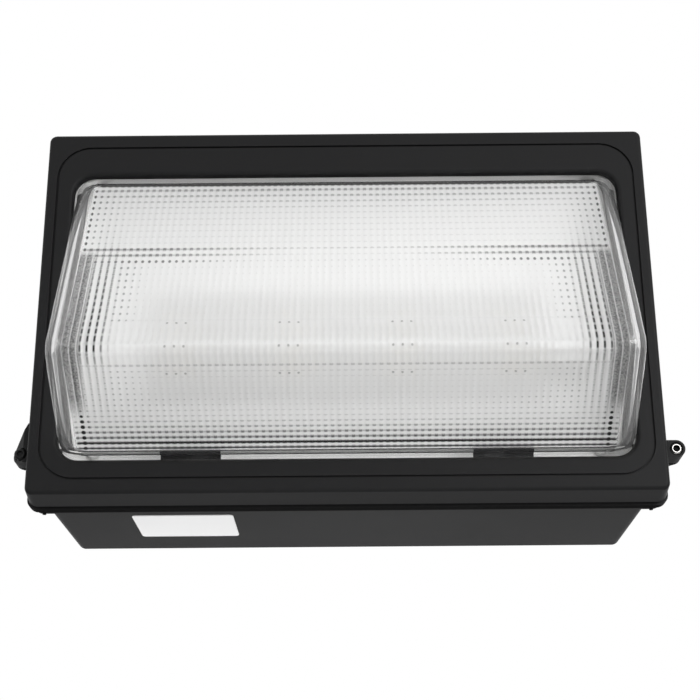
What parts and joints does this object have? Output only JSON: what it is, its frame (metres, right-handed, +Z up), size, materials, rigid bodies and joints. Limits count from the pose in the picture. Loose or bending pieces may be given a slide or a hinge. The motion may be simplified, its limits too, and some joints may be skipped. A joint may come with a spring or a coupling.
{
  "type": "wall pack light",
  "caption": "Outdoor wall light: cast box housing with a top-hinged door that frames a deep prismatic glass bowl over an LED board, closed by two side screws.",
  "frame": {"origin": "centre of the flat rear mounting face, in the plane of the wall", "axes": "+X to the right seen from the front, +Y into the wall, +Z up"},
  "size_m": [0.3784, 0.1954, 0.2384],
  "materials": {
    "black_powder_coat": "satin black powder coat, fine texture",
    "prismatic_glass": "clear pressed borosilicate glass with prisms",
    "white_silicone": "matt",
    "black_silicone": "matt",
    "clip_steel": "black coated spring steel",
    "zinc_steel": "zinc plated",
    "stainless_steel": "plain stainless",
    "white_tray_paint": "matt white reflective paint",
    "white_reflector": "satin white reflective paint",
    "thermal_silicone": "matt",
    "white_board": "white solder mask",
    "led_phosphor": "yellow phosphor under clear silicone",
    "driver_case": "satin aluminium case",
    "surge_case": "black moulded case",
    "terminal_plastic": "ivory nylon",
    "green_screw": "green earth screw",
    "black_wire": "PVC insulation",
    "white_wire": "PVC insulation",
    "white_screw": "white coated screw"
  },
  "bodies": {
    "housing": {"rear_housing": "black_powder_coat", "door_gasket": "black_silicone", "hinge_pins": "stainless_steel", "led_tray": "white_tray_paint", "reflector": "white_reflector", "thermal_pad": "thermal_silicone", "led_board": "white_board", "led_packages": "led_phosphor", "board_screws": "white_screw", "tray_screws": "white_screw", "tray_bushing": "white_silicone", "led_driver": "driver_case", "surge_protector": "surge_case", "terminal_block": "terminal_plastic", "module_screws": "zinc_steel", "ground_screw": "green_screw", "supply_wires": "black_wire", "output_wires": "white_wire", "wire_grommet": "black_silicone", "conduit_plugs": "black_powder_coat", "plug_seals": "black_silicone"},
    "door": {"door_frame": "black_powder_coat", "lens_seal": "white_silicone", "glass_refractor": "prismatic_glass", "lens_clips": "clip_steel", "lens_clip_screws": "zinc_steel"},
    "screw_left": {"closing_screw_left": "stainless_steel", "retaining_ring_left": "stainless_steel"},
    "screw_right": {"closing_screw_right": "stainless_steel", "retaining_ring_right": "stainless_steel"}
  },
  "joints": [
    {"name": "door_hinge", "type": "hinge", "parent": "housing", "child": "door", "pos_m": [0, -0.107, 0.1192], "axis": [-1, 0, 0], "range_deg": [0, 100]},
    {"name": "screw_left_out", "type": "slide", "parent": "door", "child": "screw_left", "axis": [0, -1, 0], "range_m": [0, 0.0065]},
    {"name": "screw_right_out", "type": "slide", "parent": "door", "child": "screw_right", "axis": [0, -1, 0], "range_m": [0, 0.0065]}
  ]
}
